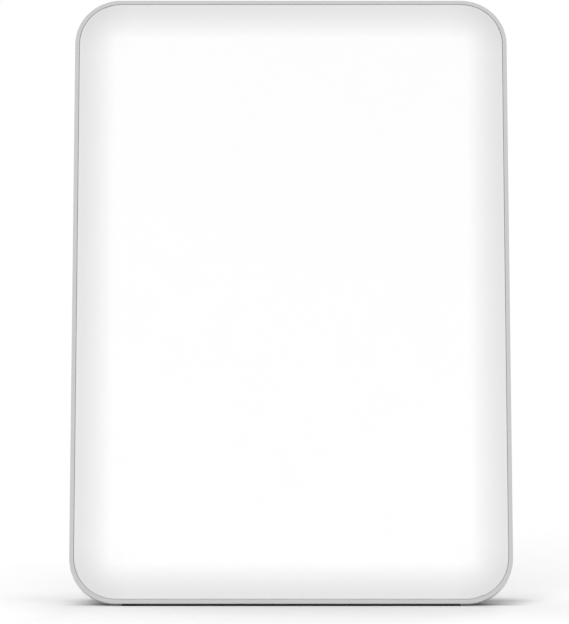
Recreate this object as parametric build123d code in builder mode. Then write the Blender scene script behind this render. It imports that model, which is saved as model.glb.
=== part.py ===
from build123d import *
from math import cos, pi, radians, sin, tan
import os

# A light therapy lamp: a slim light panel that leans back on a fold-out leg.
# X runs across the lamp, +Y is behind it and +Z is up. It stands on z = 0, with the origin under
# the middle of the space that it takes. Millimetres and degrees.

os.makedirs("parts", exist_ok=True)

# ---- The panel's outside ----
width = 255.0
height = 365.7
depth = 36.0
corner_radius = 27.0
lean = 20.0  # of the panel, back from upright
back_taper = 25.0  # the case narrows towards its back by this slope
back_round = 12.0
wall = 2.2

# ---- Front frame: rim, ledge under the diffuser, and skirt inside the case ----
rim_width = 2.4
rim_round = 0.6
frame_drop = 0.3  # the rim lies this far behind the diffuser's face
frame_depth = 3.7
ledge_inset = 6.5
ledge_depth = 2.6
skirt_wall = 1.4
skirt_depth = 10.5
skirt_play = 0.2
parting_gap = 0.2
snap_length = 12.0
snap_height = 1.2
snap_bite = 0.45
snap_depth = 7.5
snap_play = 0.15
snap_pitch = 95.0  # between the catches along a side

# ---- Diffuser and its gasket ----
reveal = 0.2  # the open groove between rim and diffuser
diffuser_wall = 1.6
diffuser_round = 0.8
gasket_thickness = 0.5
gasket_width = 2.4

# ---- Light engine, from the reflector tray back to the heat plate ----
tray_play = 0.4
tray_depth = 3.0
tray_floor_inset = 24.0
tray_wall = 0.8
tray_slope_wall = 1.1
led_columns = 8
led_rows = 12
led_border_x = 36.5  # from the panel's sides to the outer columns
led_border_y = 42.5
led_width = 3.5
led_height = 2.8
led_thickness = 0.8
led_window = 5.4
led_sink = 0.3  # the LEDs stay this far behind the tray's floor
bar_width = 10.0
bar_overhang = 6.0  # past the outer LEDs
board_thickness = 1.2
bus_width = 9.0
bus_gap = 0.3
plate_inset = 20.0
plate_thickness = 1.5
plate_air = 1.6  # between the plate and the driver board
sheet_thickness = 0.3
sheet_margin = 2.0
sheet_round = 2.0

# ---- Screws that hold the heat plate to the case ----
screw_border_x = 26.5  # from the panel's sides to the outer screws
screw_border_y = 32.5
screw_radius = 1.5
screw_length = 6.0
screw_head_radius = 2.8
screw_head_height = 2.2
screw_play = 0.1
screw_floor = 3.5
well_radius = 3.3
column_radius = 5.0
drive_share = 0.5  # the socket's share of a screw head's radius and height

# ---- Fold-out leg ----
hinge_height = 205.0  # from the panel's lower edge
hinge_flush = 0.3  # the folded leg lies this far inside the case's back
leg_lean = 18.0  # of the leg, back from upright
leg_width = 98.0
leg_outer = 4.7  # from the hinge's axis to the leg's outer and inner faces
leg_inner = 3.7
leg_skin = 2.2
leg_tip_round = 14.0
leg_edge_round = 1.0
leg_cell_columns = 5
leg_cell_rows = 7
leg_rib = 1.6
leg_solid_top = 9.0
leg_solid_tip = 16.0
grip_lines = 5
grip_pitch = 4.0
grip_length = 44.0
grip_width = 1.6
grip_depth = 0.7
grip_rise = 26.0  # from the leg's end to the middle of the grip
barrel_radius = 4.0
pivot_radius = 1.5
pivot_length = 16.0
pivot_head_radius = 2.6
pivot_head_height = 2.0
pivot_play = 0.05
pivot_boss_radius = 4.5
pivot_boss_length = 4.5
stop_width = 12.0
stop_length = 7.5
stop_root = 2.0  # the stops start this far in front of the hinge's axis
stop_play = 0.3
stop_x = 36.0
recess_play = 1.2
barrel_room = 1.0  # between the barrel and the recess floor
recess_head = 10.0  # above the hinge's axis
recess_round = 5.0
recess_wall = 2.0

# ---- Detent spring under the leg's barrel ----
spring_width = 10.0
spring_thickness = 0.4
spring_below = 21.0
spring_above = 4.0
spring_bump = 0.3
spring_bump_radius = 0.6
spring_end_round = 2.5
notch_radius = 1.2
notch_width = 14.0
spring_screw_drop = 16.0  # below the hinge's axis
spring_screw_radius = 1.0
spring_screw_head_radius = 2.2
spring_screw_head_height = 1.1

# ---- Rubber feet ----
foot_proud = 0.2  # the strip holds the case this far off the table
strip_length = 194.0
strip_nose_depth = 1.2
strip_tail_depth = 12.0
strip_rebate_start = 6.0
strip_rebate = 1.2
stand_foot_height = 3.0
stand_foot_width = 66.0

# ---- Driver board, on the right-hand side of the leg's recess ----
driver_border_x = 19.7  # kept free beside the board, at the case's side
driver_border_y = 44.5  # from the panel's lower edge to the board
driver_width = 40.0
driver_length = 90.0
driver_thickness = 1.6
driver_screw_inset = 3.0
post_radius = 3.0
small_screw_radius = 1.1
small_screw_length = 6.0
small_screw_head_radius = 2.1
small_screw_head_height = 1.0
inductor_offset = (-8.0, 21.0)  # offsets are from the board's middle
inductor_radius = 6.5
inductor_height = 7.0
inductor_waist = 4.8
inductor_flange = 1.6
capacitor_radius = 4.0
capacitor_height = 8.0
capacitor_offset = (10.0, 21.0)
capacitor_pitch = 10.0
chip_size = (9.0, 7.0, 1.6)
chip_offset = (0.0, -11.0)
chip_pitch = 16.0

# ---- Power inlet ----
jack_offset = (7.0, -33.0)
jack_size = 10.0
jack_base_height = 6.4
jack_collar_radius = 5.0
jack_collar_height = 4.5
jack_sink = 0.5  # the collar's mouth lies this far inside the back
jack_bore_radius = 2.9
jack_bore_depth = 9.0
jack_pin_radius = 1.0
jack_pin_sink = 1.0
jack_play = 0.3
jack_mouth_chamfer = 0.8

# ---- Connectors and leads ----
connector_size = (10.0, 7.0, 6.5)
led_connector_offset = (-7.0, -39.0)
switch_connector_offset = (-6.0, 40.0)
switch_socket_size = (5.0, 7.0, 5.0)
switch_socket_offset = (-7.0, -3.0)  # from the button's middle
lead_radius = 1.2
lead_rise = 3.4  # from a board to the middle of a lead beside it
led_lead_bend = 5.0
lead_bend_share = 0.45  # of the shorter run beside a bend
lead_hole_play = 1.0
lead_rise_from_board = 41.0
lead_pivot_room = 11.3  # beside the pivot screw's head
lead_pivot_rise = 15.5
lead_fall_to_socket = 35.0

# ---- Power button and its switch ----
button_border_x = 39.5  # from the panel's side to the button's middle
button_border_y = 54.5
button_radius = 7.5
button_proud = 0.8
button_travel = 0.8
button_play = 0.3
button_flange_radius = 9.0
button_flange_thickness = 1.0
button_flange_play = 0.2
button_stem_radius = 2.5
button_round = 0.5
symbol_radius = 2.8
symbol_line = 0.6
symbol_bar = 3.0
symbol_gap = 2.2  # in the symbol's ring, round its bar
symbol_depth = 0.3
switch_size = 6.2
switch_height = 3.6
switch_board_width = 34.0
switch_board_height = 14.0
switch_post_spacing = 27.0
switch_post_radius = 2.5
plunger_radius = 1.7
plunger_play = 0.1
plunger_reach = 1.5  # out of the switch
plunger_root = 1.6  # inside it

# ---- Openings in the back ----
vent_length = 24.0
vent_width = 2.4
vent_pitch = 6.5
top_vent_count = 15
top_vent_border = 47.5
side_vent_count = 5
side_vent_rise = 22.0  # above the driver board
mouth_bevel = 0.4
plaque_width = 84.0
plaque_height = 40.0
plaque_border = 102.5
plaque_depth = 0.4
plaque_round = 3.0


# ---- Depths that follow from the sizes above, behind the diffuser's face ----
case_front = frame_depth + parting_gap
inside_back = depth - wall
gasket_front = ledge_depth - gasket_thickness
hinge_depth = depth - hinge_flush - leg_outer
recess_floor = hinge_depth - barrel_radius - barrel_room
recess_depth = depth - recess_floor
tub_floor = recess_floor - recess_wall
jack_mouth = depth - jack_sink
jack_base_back = jack_mouth - jack_collar_height
driver_back = jack_base_back - jack_base_height
driver_front = driver_back - driver_thickness
plate_back = driver_front - plate_air
board_back = plate_back - plate_thickness
board_front = board_back - board_thickness
led_front = board_front - led_thickness
tray_floor_depth = led_front - led_sink
lead_depth = driver_back + lead_rise
switch_front = driver_back + switch_height
button_flange_back = inside_back - button_flange_play

# ---- Places on the panel that follow from its size ----
led_pitch_x = (width - 2 * led_border_x) / (led_columns - 1)
led_pitch_y = (height - 2 * led_border_y) / (led_rows - 1)
screw_x = width / 2 - screw_border_x
screw_y = height / 2 - screw_border_y
recess_half = leg_width / 2 + recess_play
pivot_seat = recess_half + recess_wall + pivot_boss_length
driver_x = (recess_half + recess_wall + width / 2 - driver_border_x) / 2
driver_y = (driver_length - height) / 2 + driver_border_y
button_x = width / 2 - button_border_x
button_y = height / 2 - button_border_y
side_vent_y = driver_y + driver_length / 2 + side_vent_rise

# ---- Where the panel and the hinge stand ----
face_z = height / 2 * cos(radians(lean)) + case_front * sin(radians(lean)) + foot_proud
hinge_y_on_face = hinge_height - height / 2
hinge_z = face_z + hinge_y_on_face * cos(radians(lean)) - hinge_depth * sin(radians(lean))
hinge_behind = hinge_y_on_face * sin(radians(lean)) + hinge_depth * cos(radians(lean))
leg_reach = hinge_z / cos(radians(leg_lean))
leg_end = (hinge_z - stand_foot_height) / cos(radians(leg_lean))
foot_front = leg_inner / cos(radians(leg_lean))
foot_back = leg_outer / cos(radians(leg_lean))
foot_behind = hinge_behind + hinge_z * tan(radians(leg_lean))
rim_foremost = (
    -(height / 2 - rim_round) * sin(radians(lean))
    + (frame_drop + rim_round) * cos(radians(lean))
    - rim_round
)
face_y = -(rim_foremost + foot_behind + foot_back) / 2

# The face plane lies on the diffuser's front: x across, y up the panel, z towards the viewer.
face = Plane(
    origin=(0, face_y, face_z),
    x_dir=(1, 0, 0),
    z_dir=(0, -cos(radians(lean)), sin(radians(lean))),
)
outward = Axis(face.origin, face.z_dir)
# The leg plane holds the hinge's axis: y up the leg, z towards the panel.
leg_plane = Plane(
    origin=(0, face_y + hinge_behind, hinge_z),
    x_dir=(1, 0, 0),
    z_dir=(0, -cos(radians(leg_lean)), -sin(radians(leg_lean))),
)


def behind(distance):
    """The plane that lies this far behind the diffuser's face."""
    return face.offset(-distance)


def on_driver(offset):
    """A place on the panel, from its offset from the driver board's middle."""
    return (driver_x + offset[0], driver_y + offset[1])


def on_panel(x, y, distance):
    """A point of the panel's own frame, this far behind the diffuser's face."""
    return face.from_local_coords(Vector(x, y, -distance))


def outline(inset, mode=Mode.ADD):
    """The panel's rounded outline, moved inwards by inset."""
    RectangleRounded(width - 2 * inset, height - 2 * inset, corner_radius - inset, mode=mode)


def ring(outer_inset, inner_inset, front, back):
    """A flat ring between two insets of the outline, from one depth to another."""
    with BuildSketch(behind(back)) as profile:
        outline(outer_inset)
        outline(inner_inset, mode=Mode.SUBTRACT)
    extrude(profile.sketch, amount=back - front)


def pan(inset, front, back, edge_round):
    """A slab that narrows towards the back by the case's taper, with its back edge rounded."""
    with BuildPart() as slab:
        with BuildSketch(behind(front)):
            outline(inset)
        extrude(amount=front - back, taper=back_taper)
        fillet(slab.faces().sort_by(outward)[0].edges(), edge_round)
    return slab.part


def save(label, shape):
    """Names a finished piece and writes its STEP file."""
    shape.label = label
    export_step(shape, f"parts/{label}.step")


def discs(places, radius, distance, amount):
    """Round bars at places on the panel, from this depth forwards by amount."""
    with BuildSketch(behind(distance)) as profile:
        with Locations(*places):
            Circle(radius)
    extrude(profile.sketch, amount=amount)


def sockets(places, head_radius, distance, amount):
    """Hexagon sockets sunk in screw heads, from this depth forwards by amount."""
    with BuildSketch(behind(distance)) as profile:
        with Locations(*places):
            RegularPolygon(drive_share * head_radius, 6)
    extrude(profile.sketch, amount=amount, mode=Mode.SUBTRACT)


def screws(places, seat, head_radius, head_height, radius, length):
    """Screws driven forwards, with the head behind the seat."""
    discs(places, head_radius, seat + head_height, head_height)
    discs(places, radius, seat, length)
    sockets(places, head_radius, seat + head_height, drive_share * head_height)


def front_screws(places, seat, head_radius, head_height, radius, length):
    """Screws driven backwards, with the head in front of the seat."""
    discs(places, head_radius, seat, head_height)
    discs(places, radius, seat + length, length)
    sockets(places, head_radius, seat - head_height, -drive_share * head_height)


# ---- Front frame: rim, ledge and skirt in one moulding, with snap catches ----
skirt_inset = ledge_inset - skirt_wall
catch_y = height / 2 - skirt_inset
catch_x = width / 2 - skirt_inset
catch_places = [(x, side * catch_y) for x in (-snap_pitch / 2, snap_pitch / 2) for side in (-1, 1)]
catch_places_sides = [(side * catch_x, y) for y in (-snap_pitch, 0, snap_pitch) for side in (-1, 1)]

with BuildPart() as front_frame:
    ring(0, rim_width, frame_drop, frame_depth)
    rim_edges = front_frame.faces().sort_by(outward)[-1].outer_wire().edges()
    fillet(rim_edges, rim_round)
    ring(rim_width, ledge_inset, ledge_depth, frame_depth)
    ring(skirt_inset, ledge_inset, frame_depth, skirt_depth)
    with BuildSketch(behind(snap_depth + snap_height)):
        with Locations(*catch_places):
            Rectangle(snap_length, 2 * snap_bite)
        with Locations(*catch_places_sides):
            Rectangle(2 * snap_bite, snap_length)
    extrude(amount=snap_height)
save("front_frame", front_frame.part)

# ---- Diffuser: an opal cover with a rounded edge, on a foam gasket ----
diffuser_inset = rim_width + reveal
with BuildPart() as diffuser:
    with BuildSketch(behind(gasket_front)):
        outline(diffuser_inset)
    extrude(amount=gasket_front)
    fillet(diffuser.faces().sort_by(outward)[-1].edges(), diffuser_round)
    with BuildSketch(behind(gasket_front)):
        outline(diffuser_inset + gasket_width + gasket_thickness)
    extrude(amount=gasket_front - diffuser_wall, mode=Mode.SUBTRACT)
save("diffuser", diffuser.part)

with BuildPart() as diffuser_gasket:
    gasket_inset = diffuser_inset + gasket_thickness / 2
    ring(gasket_inset, gasket_inset + gasket_width, gasket_front, ledge_depth)
save("diffuser_gasket", diffuser_gasket.part)

# ---- Reflector tray: sloping white walls and a floor with a window for each LED ----
tray_inset = ledge_inset + tray_play
tray_run = tray_floor_inset - tray_inset - tray_slope_wall
tray_taper = Vector(tray_floor_depth - tray_depth, tray_run).get_angle(Vector(1, 0))
with BuildPart() as reflector_tray:
    with BuildSketch(behind(tray_depth)):
        outline(tray_inset)
    extrude(amount=tray_depth - tray_floor_depth - tray_wall, taper=tray_taper)
    with BuildSketch(behind(tray_depth)):
        outline(tray_inset + tray_slope_wall)
    extrude(amount=tray_depth - tray_floor_depth, taper=tray_taper, mode=Mode.SUBTRACT)
    with BuildSketch(behind(tray_floor_depth + tray_wall)):
        with GridLocations(led_pitch_x, led_pitch_y, led_columns, led_rows):
            Rectangle(led_window, led_window)
    extrude(amount=tray_wall, mode=Mode.SUBTRACT)
save("reflector_tray", reflector_tray.part)

# ---- LED bars and the bus strip that feeds them ----
bar_length = (led_rows - 1) * led_pitch_y + 2 * bar_overhang
bus_y = -bar_length / 2 - bus_gap - bus_width / 2
bus_length = (led_columns - 1) * led_pitch_x + bar_width
for column in range(led_columns):
    bar_x = (column - (led_columns - 1) / 2) * led_pitch_x
    with BuildPart() as led_bar:
        with BuildSketch(behind(board_back)):
            with Locations((bar_x, 0)):
                Rectangle(bar_width, bar_length)
        extrude(amount=board_thickness)
    save(f"led_bar_{column + 1}", led_bar.part)
    with BuildPart() as led_row:
        with BuildSketch(behind(board_front)):
            with Locations((bar_x, 0)):
                with GridLocations(led_pitch_x, led_pitch_y, 1, led_rows):
                    Rectangle(led_width, led_height)
        extrude(amount=led_thickness)
    save(f"leds_{column + 1}", led_row.part)

with BuildPart() as bus_board:
    with BuildSketch(behind(board_back)):
        with Locations((0, bus_y)):
            Rectangle(bus_length, bus_width)
    extrude(amount=board_thickness)
save("bus_board", bus_board.part)

# ---- Heat plate behind the bars, and the sheet that insulates it from the driver ----
screw_places = [(x * screw_x, y * screw_y) for x in (-1, 1) for y in (-1, 0, 1)]
with BuildPart() as heat_plate:
    with BuildSketch(behind(plate_back)):
        outline(plate_inset)
        with Locations(*screw_places):
            Circle(screw_radius + screw_play, mode=Mode.SUBTRACT)
        with Locations((on_driver(led_connector_offset)[0], bus_y)):
            Circle(lead_radius + lead_hole_play, mode=Mode.SUBTRACT)
    extrude(amount=plate_thickness)
save("heat_plate", heat_plate.part)

with BuildPart() as insulating_sheet:
    with BuildSketch(behind(plate_back + sheet_thickness)):
        with Locations((driver_x, driver_y)):
            RectangleRounded(
                driver_width + 2 * sheet_margin, driver_length + 2 * sheet_margin, sheet_round
            )
    extrude(amount=sheet_thickness)
save("insulating_sheet", insulating_sheet.part)

# ---- Rear case ----
recess_top = hinge_y_on_face + recess_head
recess_bottom = -height / 2 - recess_depth
driver_screws = [
    (
        driver_x + side * (driver_width / 2 - driver_screw_inset),
        driver_y + end * (driver_length / 2 - driver_screw_inset),
    )
    for side in (-1, 1)
    for end in (-1, 1)
]
switch_screws = [(button_x + side * switch_post_spacing / 2, button_y) for side in (-1, 1)]
vent_rows = (
    (0, height / 2 - top_vent_border, top_vent_count),
    (-driver_x, side_vent_y, side_vent_count),
    (driver_x, side_vent_y, side_vent_count),
)
vent_places = [
    (row_x + (step - (count - 1) / 2) * vent_pitch, row_y)
    for row_x, row_y, count in vent_rows
    for step in range(count)
]
jack_place = on_driver(jack_offset)


def recess_sketch(grow):
    """The leg's recess as seen from behind, open at the case's lower end."""
    half = recess_half + grow
    top = recess_top + grow
    with Locations((0, (top + recess_bottom) / 2)):
        RectangleRounded(2 * half, top - recess_bottom, recess_round + grow)
    with Locations((0, recess_bottom)):
        Rectangle(2 * half, 4 * recess_round)


skirt_room = skirt_inset - skirt_play
cavity_start = skirt_depth + parting_gap
cavity_inset = (cavity_start - case_front) * tan(radians(back_taper)) + wall / cos(
    radians(back_taper)
)
case_skin = pan(0, case_front, depth, back_round)
case_cavity = pan(max(cavity_inset, skirt_room), cavity_start, inside_back, back_round - wall / 2)

with BuildPart() as case_hollow:
    add(case_cavity)
    ring_cut = behind(cavity_start)
    with BuildSketch(ring_cut):
        outline(skirt_room)
    extrude(amount=cavity_start - case_front)
    with BuildSketch(behind(depth)):
        recess_sketch(recess_wall)
    extrude(amount=depth - tub_floor, mode=Mode.SUBTRACT)

with BuildPart() as rear_case:
    add(case_skin)
    add(case_hollow.part, mode=Mode.SUBTRACT)
    with BuildSketch(behind(depth)):
        recess_sketch(0)
    extrude(amount=recess_depth, mode=Mode.SUBTRACT)
    # columns, posts and pivot bosses
    with BuildSketch(behind(inside_back)):
        with Locations(*screw_places):
            Circle(column_radius)
    extrude(amount=inside_back - plate_back)
    with BuildSketch(behind(inside_back)):
        with Locations(*driver_screws):
            Circle(post_radius)
    extrude(amount=inside_back - driver_back)
    with BuildSketch(behind(inside_back)):
        with Locations(*switch_screws):
            Circle(switch_post_radius)
    extrude(amount=inside_back - driver_back)
    for side in (-1, 1):
        boss_start = recess_half + recess_wall
        with BuildSketch(Plane(leg_plane.origin, z_dir=(side, 0, 0)).offset(boss_start)):
            Circle(pivot_boss_radius)
        extrude(amount=pivot_boss_length)
        with BuildSketch(Plane(leg_plane.origin, z_dir=(side, 0, 0)).offset(recess_half)):
            Circle(pivot_radius + pivot_play / 2)
        extrude(amount=recess_wall + pivot_boss_length, mode=Mode.SUBTRACT)
    # screw wells and holes
    with BuildSketch(behind(depth)):
        with Locations(*screw_places):
            Circle(well_radius)
    extrude(amount=depth - plate_back - screw_floor, mode=Mode.SUBTRACT)
    with BuildSketch(behind(depth)):
        with Locations(*screw_places):
            Circle(screw_radius + screw_play)
    extrude(amount=depth - plate_back, mode=Mode.SUBTRACT)
    with BuildSketch(behind(driver_back + small_screw_length)):
        with Locations(*driver_screws):
            Circle(small_screw_radius)
    extrude(amount=small_screw_length, mode=Mode.SUBTRACT)
    with BuildSketch(behind(driver_back + small_screw_length)):
        with Locations(*switch_screws):
            Circle(small_screw_radius)
    extrude(amount=small_screw_length, mode=Mode.SUBTRACT)
    with BuildSketch(behind(recess_floor)):
        with Locations((0, hinge_y_on_face - spring_screw_drop)):
            Circle(spring_screw_radius)
    extrude(amount=recess_wall, mode=Mode.SUBTRACT)
    # button hole, inlet hole, vents and the bare plaque
    with BuildSketch(behind(depth)):
        with Locations((button_x, button_y)):
            Circle(button_radius + button_play)
        with Locations(jack_place):
            Circle(jack_collar_radius + jack_play)
        with Locations(*vent_places):
            SlotOverall(vent_length, vent_width, rotation=90)
    extrude(amount=wall, mode=Mode.SUBTRACT)
    with BuildSketch(behind(depth)):
        with Locations(jack_place):
            Circle(jack_collar_radius + jack_play + jack_mouth_chamfer)
    extrude(amount=jack_mouth_chamfer, taper=45, mode=Mode.SUBTRACT)
    # the bevel along the mouths of the recess, wells, button hole and vents
    with BuildSketch(behind(depth)):
        recess_sketch(mouth_bevel)
        with Locations(*screw_places):
            Circle(well_radius + mouth_bevel)
        with Locations((button_x, button_y)):
            Circle(button_radius + button_play + mouth_bevel)
        with Locations(*vent_places):
            SlotOverall(vent_length + 2 * mouth_bevel, vent_width + 2 * mouth_bevel, rotation=90)
    extrude(amount=mouth_bevel, taper=45, mode=Mode.SUBTRACT)
    with BuildSketch(behind(depth)):
        with Locations((0, height / 2 - plaque_border)):
            RectangleRounded(plaque_width, plaque_height, plaque_round)
    extrude(amount=plaque_depth, mode=Mode.SUBTRACT)
    # the groove for the snap catches, and the rebate for the rubber strip
    ring_front = snap_depth - snap_play
    ring_back = snap_depth + snap_height + snap_play
    with BuildSketch(behind(ring_back)):
        outline(skirt_inset - snap_bite - snap_play)
        outline(skirt_room + snap_bite, mode=Mode.SUBTRACT)
    extrude(amount=ring_back - ring_front, mode=Mode.SUBTRACT)
    rebate_start = on_panel(0, -height / 2, strip_rebate_start).Y
    strip_tail = on_panel(0, -height / 2, strip_tail_depth).Y
    with BuildSketch(Plane.XY):
        with Locations((0, (rebate_start + strip_tail) / 2)):
            Rectangle(strip_length, strip_tail - rebate_start)
    extrude(amount=foot_proud + strip_rebate, mode=Mode.SUBTRACT)
save("rear_case", rear_case.part)

# ---- Screws that clamp the heat plate to the case's columns ----
with BuildPart() as case_screws:
    screws(
        screw_places,
        plate_back + screw_floor,
        screw_head_radius,
        screw_head_height,
        screw_radius,
        screw_length,
    )
save("case_screws", case_screws.part)

# ---- Rubber strip under the lower edge ----
strip_nose = on_panel(0, -height / 2, strip_nose_depth)
strip_seat = on_panel(0, -height / 2, case_front)
seat_slope = tan(radians(back_taper - lean))
with BuildPart() as front_foot_strip:
    with BuildSketch(Plane.YZ):
        with BuildLine():
            Polyline(
                (strip_nose.Y, 0),
                (strip_tail, 0),
                (strip_tail, foot_proud + strip_rebate),
                (rebate_start, foot_proud + strip_rebate),
                (rebate_start, strip_seat.Z + (rebate_start - strip_seat.Y) * seat_slope),
                (strip_seat.Y, strip_seat.Z),
                (strip_nose.Y, strip_nose.Z),
                close=True,
            )
        make_face()
    extrude(amount=strip_length / 2, both=True)
save("front_foot_strip", front_foot_strip.part)

# ---- Fold-out leg, standing open against its stops ----
cell_width = (leg_width - 2 * leg_skin) / leg_cell_columns
cell_field = leg_reach - leg_solid_top - leg_solid_tip
cell_height = cell_field / leg_cell_rows
leg_length = leg_end + leg_outer * tan(radians(leg_lean))
with BuildPart() as stand_leg:
    with BuildSketch(leg_plane.offset(-leg_outer)):
        with Locations((0, -leg_length / 2)):
            Rectangle(leg_width, leg_length)
    extrude(amount=leg_outer + leg_inner)
    tip_edges = stand_leg.edges().filter_by(Axis(leg_plane.origin, leg_plane.z_dir))
    fillet(tip_edges.group_by(Axis.Z)[0], leg_tip_round)
    fillet(stand_leg.faces().filter_by(leg_plane).sort_by(Axis.Y)[-1].edges(), leg_edge_round)
    split(bisect_by=Plane.XY.offset(stand_foot_height), keep=Keep.TOP)
    with BuildSketch(leg_plane.offset(leg_skin - leg_outer)):
        with Locations((0, -leg_solid_top - cell_field / 2)):
            with GridLocations(cell_width, cell_height, leg_cell_columns, leg_cell_rows):
                RectangleRounded(cell_width - leg_rib, cell_height - leg_rib, leg_rib)
    extrude(amount=leg_outer + leg_inner - leg_skin, mode=Mode.SUBTRACT)
    with BuildSketch(leg_plane.offset(-leg_outer)):
        with Locations((0, grip_rise - leg_end)):
            with GridLocations(grip_length, grip_pitch, 1, grip_lines):
                SlotOverall(grip_length, grip_width)
    extrude(amount=grip_depth, mode=Mode.SUBTRACT)
    # barrel and stops
    with BuildSketch(Plane(leg_plane.origin, z_dir=(1, 0, 0))):
        Circle(barrel_radius)
    extrude(amount=leg_width / 2, both=True)
    with BuildSketch(behind(hinge_depth - stop_root)):
        with Locations((-stop_x, hinge_y_on_face), (stop_x, hinge_y_on_face)):
            Rectangle(stop_width, stop_length, align=(Align.CENTER, Align.MIN))
    extrude(amount=barrel_radius + barrel_room - stop_play - stop_root)
    # pivot bores, and the notches that the spring's bump drops into, open and folded
    for side in (-1, 1):
        with BuildSketch(Plane(leg_plane.origin, z_dir=(side, 0, 0)).offset(leg_width / 2)):
            Circle(pivot_radius + pivot_play)
        extrude(amount=-pivot_length, mode=Mode.SUBTRACT)
    for turn in (0, lean + leg_lean):
        notch_direction = face.z_dir.rotate(Axis.X, turn)
        notch_centre = leg_plane.origin + notch_direction * (barrel_radius + notch_radius / 2)
        with BuildSketch(Plane(notch_centre, z_dir=(1, 0, 0))):
            Circle(notch_radius)
        extrude(amount=notch_width / 2, both=True, mode=Mode.SUBTRACT)
save("stand_leg", stand_leg.part)

# ---- Rubber foot of the leg ----
with BuildPart() as stand_foot:
    with BuildSketch(Plane.XY):
        foot_middle = face_y + foot_behind + (foot_back - foot_front) / 2
        with Locations((0, foot_middle)):
            Rectangle(stand_foot_width, foot_front + foot_back)
    extrude(amount=stand_foot_height)
save("stand_foot", stand_foot.part)

# ---- Pivot screws, one each side ----
for name, side in (("left", -1), ("right", 1)):
    pivot_axis = Plane(leg_plane.origin, z_dir=(side, 0, 0))
    with BuildPart() as pivot_screw:
        with BuildSketch(pivot_axis.offset(pivot_seat)):
            Circle(pivot_head_radius)
        extrude(amount=pivot_head_height)
        with BuildSketch(pivot_axis.offset(pivot_seat)):
            Circle(pivot_radius)
        extrude(amount=-pivot_length)
        with BuildSketch(pivot_axis.offset(pivot_seat + pivot_head_height)):
            RegularPolygon(drive_share * pivot_head_radius, 6)
        extrude(amount=-drive_share * pivot_head_height, mode=Mode.SUBTRACT)
    save(f"pivot_screw_{name}", pivot_screw.part)

# ---- Detent spring: a steel leaf with a bump under the barrel, and its screw ----
spring_screw_place = (0, hinge_y_on_face - spring_screw_drop)
spring_back = recess_floor + spring_thickness
with BuildPart() as detent_spring:
    with BuildSketch(behind(spring_back)):
        with Locations((0, hinge_y_on_face + (spring_above - spring_below) / 2)):
            RectangleRounded(spring_width, spring_above + spring_below, spring_end_round)
        with Locations(spring_screw_place):
            Circle(spring_screw_radius + screw_play, mode=Mode.SUBTRACT)
    extrude(amount=spring_thickness)
    bump_centre = on_panel(0, hinge_y_on_face, spring_back + spring_bump - spring_bump_radius)
    with BuildSketch(Plane(bump_centre, z_dir=(1, 0, 0))):
        Circle(spring_bump_radius)
    extrude(amount=spring_width / 2, both=True)
    with BuildSketch(behind(recess_floor)):
        with Locations((0, hinge_y_on_face)):
            Rectangle(2 * spring_width, 4 * spring_bump_radius)
    extrude(amount=2 * spring_bump_radius, mode=Mode.SUBTRACT)
save("detent_spring", detent_spring.part)

with BuildPart() as detent_spring_screw:
    screws(
        [spring_screw_place],
        spring_back,
        spring_screw_head_radius,
        spring_screw_head_height,
        spring_screw_radius,
        spring_thickness + recess_wall,
    )
save("detent_spring_screw", detent_spring_screw.part)

# ---- Driver board and what is soldered on it ----
with BuildPart() as driver_board:
    with BuildSketch(behind(driver_back)):
        with Locations((driver_x, driver_y)):
            Rectangle(driver_width, driver_length)
        with Locations(*driver_screws):
            Circle(small_screw_radius + screw_play, mode=Mode.SUBTRACT)
    extrude(amount=driver_thickness)
save("driver_board", driver_board.part)

with BuildPart() as driver_board_screws:
    front_screws(
        driver_screws,
        driver_front,
        small_screw_head_radius,
        small_screw_head_height,
        small_screw_radius,
        small_screw_length,
    )
save("driver_board_screws", driver_board_screws.part)

with BuildPart() as driver_inductor:
    with BuildSketch(behind(driver_back)):
        with Locations(on_driver(inductor_offset)):
            Circle(inductor_waist)
    extrude(amount=-inductor_height)
    for flange_depth in (driver_back, driver_back + inductor_height - inductor_flange):
        with BuildSketch(behind(flange_depth)):
            with Locations(on_driver(inductor_offset)):
                Circle(inductor_radius)
        extrude(amount=-inductor_flange)
save("driver_inductor", driver_inductor.part)

with BuildPart() as driver_capacitors:
    with BuildSketch(behind(driver_back)):
        with Locations(on_driver(capacitor_offset)):
            with GridLocations(capacitor_pitch, capacitor_pitch, 1, 2):
                Circle(capacitor_radius)
    extrude(amount=-capacitor_height)
save("driver_capacitors", driver_capacitors.part)

with BuildPart() as driver_chips:
    with BuildSketch(behind(driver_back)):
        with Locations(on_driver(chip_offset)):
            with GridLocations(chip_pitch, chip_pitch, 2, 1):
                Rectangle(chip_size[0], chip_size[1])
    extrude(amount=-chip_size[2])
save("driver_chips", driver_chips.part)


def connector(name, x, y, size):
    """A plug housing on the back of a board."""
    with BuildPart() as housing:
        with BuildSketch(behind(driver_back)):
            with Locations((x, y)):
                Rectangle(size[0], size[1])
        extrude(amount=-size[2])
    save(name, housing.part)


socket_x = button_x + switch_socket_offset[0]
socket_y = button_y + switch_socket_offset[1]
led_connector_x, led_connector_y = on_driver(led_connector_offset)
switch_connector_x, switch_connector_y = on_driver(switch_connector_offset)
connector("led_connector", led_connector_x, led_connector_y, connector_size)
connector("switch_connector", switch_connector_x, switch_connector_y, connector_size)

# ---- Power inlet: a barrel socket with its centre pin ----
with BuildPart() as power_inlet:
    with BuildSketch(behind(driver_back)):
        with Locations(jack_place):
            Rectangle(jack_size, jack_size)
    extrude(amount=-jack_base_height)
    with BuildSketch(behind(jack_base_back)):
        with Locations(jack_place):
            Circle(jack_collar_radius)
    extrude(amount=jack_base_back - jack_mouth)
    with BuildSketch(behind(jack_mouth)):
        with Locations(jack_place):
            Circle(jack_bore_radius)
    extrude(amount=jack_bore_depth, mode=Mode.SUBTRACT)
save("power_inlet", power_inlet.part)

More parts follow.
